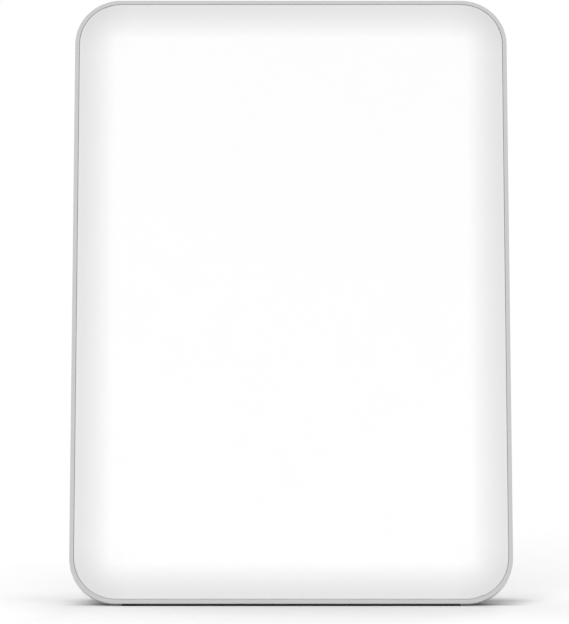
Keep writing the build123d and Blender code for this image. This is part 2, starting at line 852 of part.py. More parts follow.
with BuildPart() as inlet_pin:
    with BuildSketch(behind(jack_mouth - jack_pin_sink)):
        with Locations(jack_place):
            Circle(jack_pin_radius)
    extrude(amount=jack_bore_depth - jack_pin_sink)
    fillet(inlet_pin.faces().sort_by(outward)[0].edges(), jack_pin_radius / 2)
save("inlet_pin", inlet_pin.part)

# ---- Switch board, switch and its plunger ----
with BuildPart() as switch_board:
    with BuildSketch(behind(driver_back)):
        with Locations((button_x, button_y)):
            Rectangle(switch_board_width, switch_board_height)
        with Locations(*switch_screws):
            Circle(small_screw_radius + screw_play, mode=Mode.SUBTRACT)
    extrude(amount=driver_thickness)
save("switch_board", switch_board.part)

connector("switch_socket", socket_x, socket_y, switch_socket_size)

with BuildPart() as switch_board_screws:
    front_screws(
        switch_screws,
        driver_front,
        small_screw_head_radius,
        small_screw_head_height,
        small_screw_radius,
        small_screw_length,
    )
save("switch_board_screws", switch_board_screws.part)

with BuildPart() as push_switch:
    with BuildSketch(behind(driver_back)):
        with Locations((button_x, button_y)):
            Rectangle(switch_size, switch_size)
    extrude(amount=-switch_height)
    with BuildSketch(behind(switch_front)):
        with Locations((button_x, button_y)):
            Circle(plunger_radius + plunger_play)
    extrude(amount=plunger_root + button_travel + plunger_play, mode=Mode.SUBTRACT)
save("push_switch", push_switch.part)

with BuildPart() as switch_plunger:
    with BuildSketch(behind(switch_front + plunger_reach)):
        with Locations((button_x, button_y)):
            Circle(plunger_radius)
    extrude(amount=plunger_reach + plunger_root)
save("switch_plunger", switch_plunger.part)

# ---- Power button: cap, retaining flange and stem, with a sunk symbol ----
button_face = depth + button_proud
with BuildPart() as power_button:
    with BuildSketch(behind(button_face)):
        with Locations((button_x, button_y)):
            Circle(button_radius)
    extrude(amount=button_face - button_flange_back)
    fillet(power_button.faces().sort_by(outward)[0].edges(), button_round)
    with BuildSketch(behind(button_flange_back)):
        with Locations((button_x, button_y)):
            Circle(button_flange_radius)
    extrude(amount=button_flange_thickness)
    with BuildSketch(behind(button_flange_back - button_flange_thickness)):
        with Locations((button_x, button_y)):
            Circle(button_stem_radius)
    stem_end = switch_front + plunger_reach
    extrude(amount=button_flange_back - button_flange_thickness - stem_end)
    symbol_outer = symbol_radius + symbol_line / 2
    with BuildSketch(behind(button_face)):
        with Locations((button_x, button_y)):
            Circle(symbol_outer)
            Circle(symbol_radius - symbol_line / 2, mode=Mode.SUBTRACT)
            with Locations((0, symbol_radius)):
                Rectangle(symbol_gap, 2 * symbol_radius, mode=Mode.SUBTRACT)
            with Locations((0, symbol_outer - symbol_bar / 2)):
                SlotOverall(symbol_bar, symbol_line, rotation=90)
    extrude(amount=symbol_depth, mode=Mode.SUBTRACT)
save("power_button", power_button.part)


# ---- Leads inside the case ----
def lead(name, points, bends):
    """A round two-core lead along straight runs joined by arcs."""
    with BuildPart() as cable:
        with BuildLine() as route:
            path = FilletPolyline(*points, radius=bends)
        with BuildSketch(Plane(origin=path @ 0, z_dir=path % 0)):
            Circle(lead_radius)
        sweep(path=route.wires()[0])
    section = pi * lead_radius**2
    print(f"{name}: {path.length:.1f} mm long, bends {[round(bend, 1) for bend in bends]}")
    print(f"  volume {cable.part.volume:.1f}, section times length {section * path.length:.1f}")
    save(name, cable.part)


led_lead_start = led_connector_y - connector_size[1] / 2
lead(
    "led_lead",
    [
        on_panel(led_connector_x, led_lead_start, lead_depth),
        on_panel(led_connector_x, bus_y, lead_depth),
        on_panel(led_connector_x, bus_y, board_back),
    ],
    [led_lead_bend],
)

switch_lead_points = [
    on_panel(switch_connector_x, switch_connector_y + connector_size[1] / 2, lead_depth),
    on_panel(switch_connector_x, switch_connector_y + lead_rise_from_board, lead_depth),
    on_panel(
        pivot_seat + pivot_head_height + lead_pivot_room,
        hinge_y_on_face + lead_pivot_rise,
        lead_depth,
    ),
    on_panel(socket_x, socket_y - lead_fall_to_socket, lead_depth),
    on_panel(socket_x, socket_y - switch_socket_size[1] / 2, lead_depth),
]
switch_lead_bends = []
for before, here, after in zip(
    switch_lead_points, switch_lead_points[1:], switch_lead_points[2:]
):
    turn = (here - before).get_angle(after - here)
    shorter = min((here - before).length, (after - here).length)
    switch_lead_bends.append(lead_bend_share * shorter / tan(radians(turn / 2)))
lead("switch_lead", switch_lead_points, switch_lead_bends)
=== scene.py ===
from math import cos, pi, radians, sin

import bmesh
import bpy
import numpy as np
from mathutils import Matrix, Vector


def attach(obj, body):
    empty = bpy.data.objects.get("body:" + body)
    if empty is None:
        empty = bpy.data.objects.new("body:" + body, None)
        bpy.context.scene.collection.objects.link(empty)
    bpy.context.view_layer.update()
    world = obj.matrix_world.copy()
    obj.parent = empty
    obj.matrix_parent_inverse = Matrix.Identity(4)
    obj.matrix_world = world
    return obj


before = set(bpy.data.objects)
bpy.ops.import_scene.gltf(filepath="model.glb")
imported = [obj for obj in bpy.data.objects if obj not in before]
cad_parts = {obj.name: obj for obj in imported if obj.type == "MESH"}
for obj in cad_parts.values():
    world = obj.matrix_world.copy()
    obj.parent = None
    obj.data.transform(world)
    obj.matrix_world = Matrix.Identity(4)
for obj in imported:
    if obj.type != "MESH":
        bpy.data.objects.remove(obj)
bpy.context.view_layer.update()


# ---- Camera ----
# A long lens about three metres away, a little above the middle of the lamp and turned slightly
# down, so that the upright panel keeps its edges almost parallel.
mm = 0.001  # the frame is in metres
lean = radians(20.0)
panel_axes = np.array(((1, 0, 0), (0, sin(lean), cos(lean)), (0, cos(lean), -sin(lean))))


def extent(name, origin=(0.0, 0.0, 0.0)):
    """A node's lowest and highest corners across, up and behind the panel, from an origin."""
    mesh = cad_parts[name].data
    points = np.empty(3 * len(mesh.vertices))
    mesh.vertices.foreach_get("co", points)
    along = (points.reshape(-1, 3) - origin) @ panel_axes.T
    return along.min(axis=0), along.max(axis=0)


# the middle of the face lies on the diffuser's front, in the middle of the rim
rim_low, rim_high = extent("front_frame")
face_depth = extent("diffuser")[0][2]
face_centre = panel_axes.T @ (*(rim_low + rim_high)[:2] / 2, face_depth)

pitch = radians(4.1)
lens_distance, camera_drop, camera_left = 2957 * mm, 8.85 * mm, 3.8 * mm
look = np.array((0.0, cos(pitch), -sin(pitch)))
camera_up = np.array((0.0, sin(pitch), cos(pitch)))
camera_data = bpy.data.cameras.new("camera")
camera_data.lens = 292.8
camera_data.sensor_width = 36.0
camera_data.clip_end = 100.0
camera = bpy.data.objects.new("camera", camera_data)
camera.location = face_centre - lens_distance * look - camera_drop * camera_up
camera.location.x -= camera_left
camera.rotation_euler = (radians(90.0) - pitch, 0.0, 0.0)
bpy.context.scene.collection.objects.link(camera)
bpy.context.scene.camera = camera


# ---- Front frame ----
# One injection moulding of light grey ABS: the thin rim that shows, the ledge under the diffuser
# and the skirt with its snap catches. The tool is fine-textured, which gives an even satin.
def linear(hexadecimal):
    """An sRGB hex colour as linear RGBA."""
    channels = [int(hexadecimal[i : i + 2], 16) / 255.0 for i in (1, 3, 5)]
    return (*(c / 12.92 if c <= 0.04045 else ((c + 0.055) / 1.055) ** 2.4 for c in channels), 1.0)


def add(tree, kind, inputs=None, **settings):
    """Adds a node with its settings, and sets or links each of its inputs."""
    made = tree.nodes.new(kind)
    for name, value in settings.items():
        setattr(made, name, value)
    for name, value in (inputs or {}).items():
        if isinstance(value, bpy.types.NodeSocket):
            tree.links.new(value, made.inputs[name])
        else:
            made.inputs[name].default_value = value
    return made


def start_material(name, roughness, ior=1.5, metallic=0.0):
    """An empty material with its shader and output, and the shader's uniform values set."""
    material = bpy.data.materials.new(name)
    material.use_nodes = True
    tree = material.node_tree
    tree.nodes.clear()
    shader = add(
        tree,
        "ShaderNodeBsdfPrincipled",
        {"Roughness": roughness, "IOR": ior, "Metallic": metallic},
    )
    add(tree, "ShaderNodeOutputMaterial", {"Surface": shader.outputs["BSDF"]})
    return material, tree, shader


def grained_finish(name, dark, light, roughness, grain, depth, ior=1.54):
    """Plastic, foam or ferrite: two close tones in soft clouds, and its grain as a shallow bump.

    Real grain is 0.05 to 0.4 mm wide. It is drawn coarser than that, so that it shows.
    """
    cloud_size, gloss_change = 40 * mm, 0.06
    material, tree, shader = start_material(name, roughness, ior)
    space = add(tree, "ShaderNodeTexCoord").outputs["Object"]
    clouds = add(
        tree, "ShaderNodeTexNoise", {"Vector": space, "Scale": 1 / cloud_size, "Detail": 3.0}
    )
    tone = add(
        tree,
        "ShaderNodeMix",
        {"Factor": clouds.outputs["Fac"], "A": linear(dark), "B": linear(light)},
        data_type="RGBA",
    )
    grains = add(tree, "ShaderNodeTexNoise", {"Vector": space, "Scale": 1 / grain, "Detail": 4.0})
    gloss = add(
        tree,
        "ShaderNodeMapRange",
        {
            "Value": grains.outputs["Fac"],
            "To Min": roughness - gloss_change,
            "To Max": roughness + gloss_change,
        },
    )
    bump = add(
        tree,
        "ShaderNodeBump",
        {"Height": grains.outputs["Fac"], "Strength": 1.0, "Distance": depth},
    )
    tree.links.new(tone.outputs["Result"], shader.inputs["Base Color"])
    tree.links.new(gloss.outputs[0], shader.inputs["Roughness"])
    tree.links.new(bump.outputs["Normal"], shader.inputs["Normal"])
    return material


def dress(material, *names):
    """Gives CAD nodes this material."""
    for name in names:
        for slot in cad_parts[name].material_slots:
            slot.material = material


frame_abs = grained_finish("abs_satin_grey", "#CBCBCB", "#CECECE", 0.48, 0.8 * mm, 0.01 * mm)
dress(frame_abs, "front_frame")


# ---- Diffuser ----
# A vacuum-formed sheet of opal acrylic, 1.6 mm thick, with a rolled edge that seats on the frame's
# ledge. The LEDs behind it light it evenly, and it falls off over the tray's sloping border. Its
# satin grain is drawn 0.6 mm wide, several times its real size.
def panel_coordinates(tree):
    """Object coordinates turned to the panel: x across, y up the panel, z out of its face."""
    turn = Matrix.Rotation(lean - pi / 2, 3, "X")
    coordinates = add(tree, "ShaderNodeTexCoord")
    return add(
        tree,
        "ShaderNodeMapping",
        {
            "Vector": coordinates.outputs["Object"],
            "Rotation": (lean - pi / 2, 0.0, 0.0),
            "Location": -(turn @ Vector(face_centre)),
        },
    ).outputs["Vector"]


half_width, half_height = (rim_high - rim_low)[:2] / 2
corner_radius = 27.0 * mm
inner_light, light_swell = 0.1993, 0.004
glow_start, glow_end, glow_power = 5.2 * mm, 23.7 * mm, 1.245  # from the panel's outline
border_light = 0.1187
# painted shade: the border's glow is weaker towards the top of the panel and brighter towards its
# lower edge
painted_border_fall = 0.0735  # of the border's light, for each metre up the panel
painted_corner_dimming, corner_ease, corner_spread = 0.208, 3.0 * mm, 7.7 * mm
swell_size, opal_grain_size, opal_grain_depth = 30.0 * mm, 0.6 * mm, 0.02 * mm
opal, opal_tree, opal_shader = start_material("opal_acrylic_satin", 0.42, ior=1.49)
flat = add(opal_tree, "ShaderNodeSeparateXYZ", {"Vector": panel_coordinates(opal_tree)})
over = []
for axis, half in (("X", half_width), ("Y", half_height)):
    size = add(opal_tree, "ShaderNodeMath", {0: flat.outputs[axis]}, operation="ABSOLUTE")
    over.append(
        add(
            opal_tree,
            "ShaderNodeMath",
            {0: size.outputs[0], 1: half - corner_radius},
            operation="SUBTRACT",
        ).outputs[0]
    )
# the distance in from a rounded rectangle: corner_radius - |max(over, 0)| - min(max(x, y), 0)
clear = [
    add(opal_tree, "ShaderNodeMath", {0: side, 1: 0.0}, operation="MAXIMUM").outputs[0]
    for side in over
]
joined = add(opal_tree, "ShaderNodeCombineXYZ", {"X": clear[0], "Y": clear[1]})
corner = add(opal_tree, "ShaderNodeVectorMath", {0: joined.outputs[0]}, operation="LENGTH")
nearest = add(opal_tree, "ShaderNodeMath", {0: over[0], 1: over[1]}, operation="MAXIMUM")
inner = add(opal_tree, "ShaderNodeMath", {0: nearest.outputs[0], 1: 0.0}, operation="MINIMUM")
outside = add(
    opal_tree, "ShaderNodeMath", {0: corner.outputs["Value"], 1: inner.outputs[0]}, operation="ADD"
)
inset = add(
    opal_tree, "ShaderNodeMath", {0: corner_radius, 1: outside.outputs[0]}, operation="SUBTRACT"
)
glow = add(
    opal_tree,
    "ShaderNodeMapRange",
    {"Value": inset.outputs[0], "From Min": glow_start, "From Max": glow_end},
)
glow_curve = add(
    opal_tree, "ShaderNodeMath", {0: glow.outputs[0], 1: glow_power}, operation="POWER"
)
# the LEDs show through as a swell of well under one percent
opal_space = add(opal_tree, "ShaderNodeTexCoord").outputs["Object"]
sheet_waves = add(
    opal_tree, "ShaderNodeTexNoise", {"Vector": opal_space, "Scale": 1 / swell_size, "Detail": 2.0}
)
evenness = add(
    opal_tree,
    "ShaderNodeMapRange",
    {
        "Value": sheet_waves.outputs["Fac"],
        "To Min": inner_light,
        "To Max": inner_light + light_swell,
    },
)
# painted shade: the border's glow falls off up the panel
border = add(
    opal_tree,
    "ShaderNodeMath",
    {0: flat.outputs["Y"], 1: -painted_border_fall, 2: border_light},
    operation="MULTIPLY_ADD",
)
glow_light = add(
    opal_tree,
    "ShaderNodeMath",
    {0: glow_curve.outputs[0], 1: evenness.outputs[0], 2: border.outputs[0]},
    operation="MULTIPLY_ADD",
)
# painted shade: a corner lies furthest from the LEDs, so its base colour is darkened by
# a * b / (a + b), where a and b are how far it goes into the corner both ways from corner_spread
# before it, each eased as d * d / (d + corner_ease)
eased = []
for past in over:
    spread = add(opal_tree, "ShaderNodeMath", {0: past, 1: corner_spread}, operation="ADD")
    side = add(
        opal_tree, "ShaderNodeMath", {0: spread.outputs[0], 1: 0.0}, operation="MAXIMUM"
    ).outputs[0]
    square = add(opal_tree, "ShaderNodeMath", {0: side, 1: side}, operation="MULTIPLY")
    longer = add(opal_tree, "ShaderNodeMath", {0: side, 1: corner_ease}, operation="ADD")
    eased.append(
        add(
            opal_tree,
            "ShaderNodeMath",
            {0: square.outputs[0], 1: longer.outputs[0]},
            operation="DIVIDE",
        ).outputs[0]
    )
eased_product = add(
    opal_tree, "ShaderNodeMath", {0: eased[0], 1: eased[1]}, operation="MULTIPLY"
)
eased_sum = add(opal_tree, "ShaderNodeMath", {0: eased[0], 1: eased[1]}, operation="ADD")
corner_depth = add(
    opal_tree,
    "ShaderNodeMath",
    {0: eased_product.outputs[0], 1: eased_sum.outputs[0]},
    operation="DIVIDE",
)
painted_corner_shade = add(
    opal_tree,
    "ShaderNodeMath",
    {0: corner_depth.outputs[0], 1: -painted_corner_dimming / corner_radius, 2: 1.0},
    operation="MULTIPLY_ADD",
)
opal_tone = add(
    opal_tree,
    "ShaderNodeMix",
    {"Factor": sheet_waves.outputs["Fac"], "A": linear("#D8D8D8"), "B": linear("#D9D9D9")},
    data_type="RGBA",
)
# painted shade: the sheet's colour, darkened towards its corners
opal_colour_with_painted_shade = add(
    opal_tree,
    "ShaderNodeVectorMath",
    {0: opal_tone.outputs["Result"], "Scale": painted_corner_shade.outputs[0]},
    operation="SCALE",
)
opal_grain = add(
    opal_tree,
    "ShaderNodeTexNoise",
    {"Vector": opal_space, "Scale": 1 / opal_grain_size, "Detail": 3.0},
)
opal_bump = add(
    opal_tree,
    "ShaderNodeBump",
    {"Height": opal_grain.outputs["Fac"], "Strength": 0.05, "Distance": opal_grain_depth},
)
opal_shader.inputs["Emission Color"].default_value = linear("#FFFFFF")
opal_tree.links.new(glow_light.outputs[0], opal_shader.inputs["Emission Strength"])
opal_tree.links.new(opal_colour_with_painted_shade.outputs["Vector"], opal_shader.inputs["Base Color"])
opal_tree.links.new(opal_bump.outputs["Normal"], opal_shader.inputs["Normal"])
dress(opal, "diffuser")


# ---- Diffuser gasket ----
# A ring of black foam, die-cut from sheet and stuck on under the diffuser's edge, so that it
# doesn't rattle on the frame. Its cut cells leave it dull and rough.
foam = grained_finish("foam_gasket_black", "#161616", "#242424", 0.9, 0.7 * mm, 0.1 * mm)
dress(foam, "diffuser_gasket")


# ---- Reflector tray ----
# A tray of white polycarbonate, formed from sheet, with sloping walls and a window for each LED.
# It is matt, so that it throws the light forward evenly.
polycarbonate = grained_finish(
    "polycarbonate_white_matt", "#EDEDEC", "#F2F2F1", 0.6, 1.2 * mm, 0.01 * mm, ior=1.58
)
dress(polycarbonate, "reflector_tray")


# ---- LED bars and LEDs ----
# Eight aluminium-backed bars under white solder mask, fed by a bus strip across their lower ends.
# Each carries twelve mid-power LEDs: white packages with a disc of yellow phosphor.
def solder_mask(name, mask, track, spacing):
    """A circuit board: its tracks show as a slightly raised, lighter pattern.

    Real tracks lie 0.3 to 1 mm apart. They are drawn several times coarser, so that they show.
    """
    track_width, track_depth = 0.06, 0.06 * mm  # the width is a share of the spacing
    material, tree, shader = start_material(name, 0.3, ior=1.55)
    tracks = add(
        tree,
        "ShaderNodeTexBrick",
        {
            "Vector": panel_coordinates(tree),
            "Color1": linear(mask),
            "Color2": linear(mask),
            "Mortar": linear(track),
            "Scale": 1 / spacing,
            "Mortar Size": track_width,
            "Mortar Smooth": 0.1,
            "Brick Width": 2.6,
            "Row Height": 0.9,
        },
        offset=0.37,
    )
    bump = add(
        tree,
        "ShaderNodeBump",
        {"Height": tracks.outputs["Fac"], "Strength": 0.6, "Distance": track_depth},
    )
    tree.links.new(tracks.outputs["Color"], shader.inputs["Base Color"])
    tree.links.new(bump.outputs["Normal"], shader.inputs["Normal"])
    return material


led_columns, led_rows, led_height = 8, 12, 2.8 * mm
white_mask = solder_mask("solder_mask_white", "#E8E9E6", "#D9DAD4", 4.0 * mm)
dress(white_mask, "bus_board", *(f"led_bar_{column + 1}" for column in range(led_columns)))

# a node holds one column of LEDs, so its length gives their pitch up the panel
column_low, column_high = extent("leds_1")
led_pitch_x = extent("leds_2")[0][0] - column_low[0]
led_pitch_y = (column_high[1] - column_low[1] - led_height) / (led_rows - 1)
phosphor_radius, phosphor_edge = 1.2 * mm, 0.1 * mm
led, led_tree, led_shader = start_material("led_package_phosphor", 0.35, ior=1.5)
led_space = add(led_tree, "ShaderNodeSeparateXYZ", {"Vector": panel_coordinates(led_tree)})
centred = []
for axis, spacing in (("X", led_pitch_x), ("Y", led_pitch_y)):
    moved = add(
        led_tree,
        "ShaderNodeMath",
        {0: led_space.outputs[axis], 1: spacing / 2},
        operation="SUBTRACT",
    )
    centred.append(
        add(
            led_tree,
            "ShaderNodeMath",
            {0: moved.outputs[0], 1: spacing / 2, 2: -spacing / 2},
            operation="WRAP",
        ).outputs[0]
    )
led_flat = add(led_tree, "ShaderNodeCombineXYZ", {"X": centred[0], "Y": centred[1]})
led_radius = add(led_tree, "ShaderNodeVectorMath", {0: led_flat.outputs[0]}, operation="LENGTH")
phosphor = add(
    led_tree,
    "ShaderNodeMapRange",
    {
        "Value": led_radius.outputs["Value"],
        "From Min": phosphor_radius,
        "From Max": phosphor_radius + phosphor_edge,
        "To Min": 1.0,
        "To Max": 0.0,
    },
)
led_tone = add(
    led_tree,
    "ShaderNodeMix",
    {"Factor": phosphor.outputs[0], "A": linear("#EEEDEA"), "B": linear("#F1D25A")},
    data_type="RGBA",
)
led_tree.links.new(led_tone.outputs["Result"], led_shader.inputs["Base Color"])
dress(led, *(f"leds_{column + 1}" for column in range(led_columns)))


# ---- Heat plate and insulating sheet ----
# A plate of rolled aluminium takes the heat of the bars, and shows the fine lines of its rolling.
# The film of amber polyester behind it keeps the driver board's joints off the metal.
def metal(name, dark, light, roughness, spacing):
    """Bare or plated metal: fine lines along Y change its tone and gloss.

    Real lines are some hundredths of a millimetre apart. They are drawn about ten times as far
    apart, so that they show.
    """
    drawn_out, gloss_change, line_depth = 0.08, 0.1, 0.02 * mm
    material, tree, shader = start_material(name, roughness, metallic=1.0)
    space = add(tree, "ShaderNodeTexCoord").outputs["Object"]
    stretched = add(
        tree,
        "ShaderNodeMapping",
        {"Vector": space, "Scale": (1 / spacing, drawn_out / spacing, 1 / spacing)},
    )
    lines = add(
        tree,
        "ShaderNodeTexNoise",
        {"Vector": stretched.outputs[0], "Scale": 1.0, "Detail": 4.0},
    )
    tone = add(
        tree,
        "ShaderNodeMix",
        {"Factor": lines.outputs["Fac"], "A": linear(dark), "B": linear(light)},
        data_type="RGBA",
    )
    gloss = add(
        tree,
        "ShaderNodeMapRange",
        {
            "Value": lines.outputs["Fac"],
            "To Min": roughness - gloss_change,
            "To Max": roughness + gloss_change,
        },
    )
    bump = add(
        tree,
        "ShaderNodeBump",
        {"Height": lines.outputs["Fac"], "Strength": 0.2, "Distance": line_depth},
    )
    tree.links.new(tone.outputs["Result"], shader.inputs["Base Color"])
    tree.links.new(gloss.outputs[0], shader.inputs["Roughness"])
    tree.links.new(bump.outputs["Normal"], shader.inputs["Normal"])
    return material


dress(metal("aluminium_rolled", "#C3C5C7", "#D6D8D9", 0.38, 0.4 * mm), "heat_plate")
polyester = grained_finish(
    "polyester_film_amber", "#C59A45", "#CFA653", 0.35, 2.0 * mm, 0.004 * mm, ior=1.64
)
dress(polyester, "insulating_sheet")


# ---- Driver board and switch board ----
# Glass-epoxy boards under green solder mask, which is glossy and paler over the tracks. The driver
# board turns the adapter's supply into the LEDs' current, and the small board carries the switch
# under the power button.
green_mask = solder_mask("solder_mask_green", "#1F5C38", "#2F7A4C", 3.0 * mm)
dress(green_mask, "driver_board", "switch_board")


# ---- Inductor ----
# A bobbin of sintered ferrite, dark grey and dull, with one layer of copper wire wound between its
# flanges. The wire's enamel makes it a glossy red-brown.
def back_of(name):
    """The middle of a node's back in millimetres: its (x, y), and how far behind the face it is."""
    low, high = extent(name, face_centre)
    return (low + high)[:2] / 2 / mm, high[2] / mm


def add_piece(name, blocks, material):
    """Joins blocks of points, each (copies, rows, columns, 3), into one piece of the panel.

    Points are (x, y, distance behind the face) on the panel, in millimetres. Each column closes
    on itself, and points of a row that meet are merged.
    """
    quads, start = [], 0
    for block in blocks:
        index = start + np.arange(block.size // 3).reshape(block.shape[:3])
        beside = np.roll(index, -1, axis=2)
        rows = (index[:, :-1], beside[:, :-1], beside[:, 1:], index[:, 1:])
        quads.append(np.stack(rows, axis=-1).reshape(-1, 4))
        start += index.size
    points = np.concatenate([block.reshape(-1, 3) for block in blocks]) * mm @ panel_axes
    mesh = bpy.data.meshes.new(name)
    mesh.from_pydata((points + face_centre).tolist(), [], np.concatenate(quads).tolist())
    surface = bmesh.new()
    surface.from_mesh(mesh)
    bmesh.ops.remove_doubles(surface, verts=surface.verts, dist=1e-7)
    bmesh.ops.recalc_face_normals(surface, faces=surface.faces)
    surface.to_mesh(mesh)
    surface.free()
    mesh.shade_smooth()
    mesh.set_sharp_from_angle(angle=radians(35))
    mesh.materials.append(material)
    piece = bpy.data.objects.new(name, mesh)
    bpy.context.scene.collection.objects.link(piece)
    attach(piece, "panel")


def turned(profile, around):
    """A profile of (radius, distance) turned about the panel's normal: r cos a, r sin a, d.

    A radius is one number, or one for each angle.
    """
    angle = np.arange(around) * 2 * pi / around
    rings = [np.broadcast_arrays(r * np.cos(angle), r * np.sin(angle), d) for r, d in profile]
    return np.stack([np.stack(ring, axis=-1) for ring in rings])


def copies(block, places):
    """The same grid of points at each place of the panel: every point plus the place."""
    offsets = np.array([(*place, 0.0) for place in places])
    return block[None] + offsets[:, None, None]


ferrite = grained_finish("ferrite_sintered", "#2B2A29", "#3A3836", 0.6, 0.6 * mm, 0.03 * mm)
dress(ferrite, "driver_inductor")
# The winding lies at the radius of its wires' middle, plus the upper half circle of the wire there:
# r + w / 2 * sqrt(1 - t * t), with t from -1 to 1 across the wire. It climbs one wire for each
# turn, in the middle of the bobbin.
wire, wire_turns, core_radius, winding_radius = 0.45, 8, 4.85, 5.95
winding_steps, winding_around = 48, 64
board_middle, board_back = back_of("driver_board")
inductor_middle, inductor_back = back_of("driver_inductor")
winding_length = wire * wire_turns
winding_start = (board_back + inductor_back - winding_length) / 2
climb = np.linspace(0, 1, winding_steps + 1)[:, None]
turn_angle = np.arange(winding_around) * 2 * pi / winding_around
across_wire = 2 * np.mod(climb * wire_turns - turn_angle / (2 * pi), 1) - 1
wound_radius = winding_radius + wire / 2 * np.sqrt(1 - across_wire**2)
wound_depth = winding_start + climb * winding_length + 0 * turn_angle
wound = np.stack(
    (wound_radius * np.cos(turn_angle), wound_radius * np.sin(turn_angle), wound_depth), axis=-1
)
core_profile = [(core_radius, winding_start), (core_radius, winding_start + winding_length)]
core = turned(core_profile, around=winding_around)
copper = metal("copper_enamelled", "#8E4422", "#B4622F", 0.3, 0.3 * mm)
winding = np.concatenate((core[:1], wound, core[1:], core[:1]))
add_piece("inductor_winding", [copies(winding, [inductor_middle])], copper)


# ---- Capacitors ----
# Two electrolytic capacitors: bright aluminium cans in black, glossy PVC sleeves that are shrunk
# over the rims of their tops. The tops are scored in a cross so that they can vent.
sleeve = grained_finish("pvc_sleeve_black", "#15171C", "#1D2026", 0.25, 3.0 * mm, 0.004 * mm)
dress(sleeve, "driver_capacitors")
capacitor_pitch, can_radius, can_proud, can_rim = 10.0, 3.4, 0.1, 0.2
can_rings, can_around = 18, 96
score_width, score_depth = 0.3, 0.08
score_length = 0.8 * can_radius
lip_radius, lip_round, lip_sides = 3.65, 0.34, 12
capacitors_middle, sleeve_back = back_of("driver_capacitors")
can_top = sleeve_back + can_proud
capacitor_places = [capacitors_middle + (0, side * capacitor_pitch / 2) for side in (1, -1)]
# A top is a disc with a cross pressed into it: by the score's depth along its two lines, and by
# less and less out to the score's width from the nearer line. An underside closes it.
rings = np.linspace(0, can_radius, can_rings)
top = turned([(radius, can_top) for radius in rings], around=can_around)
from_score = np.minimum(np.abs(top[..., 0]), np.abs(top[..., 1]))
scored = (rings[:, None] < score_length) * np.clip(1 - from_score / score_width, 0, 1)
top[..., 2] -= score_depth * scored
underside_profile = [(can_radius, can_top - can_rim), (0, can_top - can_rim)]
underside = turned(underside_profile, around=can_around)
aluminium = metal("aluminium_can", "#C9CBCC", "#DCDDDE", 0.3, 0.3 * mm)
add_piece(
    "capacitor_tops",
    [copies(np.concatenate((top, underside)), capacitor_places)],
    aluminium,
)
# A lip is a circle turned about the can: R + r cos b out from its middle, and r sin b up.
lip_angle = np.linspace(0, 2 * pi, lip_sides + 1)
lip_profile = (
    lip_radius + lip_round * np.cos(lip_angle),
    can_top + lip_round * np.sin(lip_angle),
)
lip = turned(np.stack(lip_profile, 1), around=64)
add_piece("capacitor_sleeve_lips", [copies(lip, capacitor_places)], sleeve)


# ---- Chips ----
# Two chips moulded in black epoxy, which has a soft satin face. Gull-wing legs of copper strip,
# bright with tin, carry them, six on each side.
def bar(path, side, rise):
    """A bar of rectangular section: at each point of its path the corners - side - rise,
    + side - rise, + side + rise and - side + rise, and ends closed to the first and last points."""
    path, side, rise = np.broadcast_arrays(np.array(path, float), side, rise)
    turns = ((-1, -1), (1, -1), (1, 1), (-1, 1))
    section = np.stack([path + across * side + up * rise for across, up in turns], axis=1)
    ends = np.repeat(path[[0, -1], None], 4, axis=1)
    return np.concatenate((ends[:1], section, ends[1:]))


epoxy = grained_finish("epoxy_black", "#161616", "#1E1E1E", 0.45, 0.5 * mm, 0.01 * mm)
dress(epoxy, "driver_chips", "push_switch", "switch_plunger")
chip_pitch, leg_pitch, legs_a_side = 16.0, 1.27, 6
leg_half_width, leg_half_thickness = 0.22, 0.1
leg_shoulder, leg_knee, leg_ankle, leg_toe = 3.4, 3.85, 4.15, 4.9  # from the chip's middle
leg_top = 0.9  # of the shoulder's middle, above the board
# a leg is a bar along its bent path, with its rise square to the path's run
leg_path = np.array(
    [
        (0, leg_shoulder, board_back + leg_top),
        (0, leg_knee, board_back + leg_top),
        (0, leg_ankle, board_back + leg_half_thickness),
        (0, leg_toe, board_back + leg_half_thickness),
    ]
)
run = np.gradient(leg_path, axis=0)
leg_rise = leg_half_thickness * np.stack((0 * run[:, 0], -run[:, 2], run[:, 1]), 1)
leg_rise /= np.linalg.norm(run, axis=1)[:, None]
chip_leg = bar(leg_path, (leg_half_width, 0, 0), leg_rise)
chips_middle = back_of("driver_chips")[0]
leg_places = [
    chips_middle + (side * chip_pitch / 2 + (step - (legs_a_side - 1) / 2) * leg_pitch, 0)
    for side in (-1, 1)
    for step in range(legs_a_side)
]
tin = metal("tin_plated_bright", "#B9BBBC", "#D2D4D5", 0.28, 0.3 * mm)
add_piece(
    "chip_legs",
    [copies(chip_leg, leg_places), copies(chip_leg * (1, -1, 1), leg_places)],
    tin,
)


# ---- Chip resistors ----
# Small ceramic blocks under black glass, in a row on each side of the chips. Their tinned ends
# wrap round them and are soldered to the board.
resistor_half_width, resistor_half_height, resistor_half_glass = 0.6, 0.3, 0.7
end_start, end_length, end_skin = 0.65, 0.35, 0.02
upper_row, lower_row = 3.35, -23.15  # from the board's middle
resistor_places = [board_middle + (x, upper_row) for x in (-14, -9, -4, 4, 9, 14)]
resistor_places += [board_middle + (x, lower_row) for x in (-16, -11, -6, 0)]


def resistor_block(start, end, skin):
    """A resistor's block: a bar from one x to another, thicker by a skin than its ceramic."""
    path = [(x, 0, board_back + resistor_half_height) for x in (start, end)]
    return bar(path, (0, resistor_half_width + skin, 0), (0, 0, resistor_half_height + skin))


glass_block = resistor_block(-resistor_half_glass, resistor_half_glass, 0)
add_piece("chip_resistors", [copies(glass_block, resistor_places)], epoxy)
end_blocks = [
    resistor_block(start, start + end_length, end_skin)
    for start in (-end_start - end_length, end_start)
]
add_piece(
    "chip_resistor_ends",
    [copies(block, resistor_places) for block in end_blocks],
    tin,
)


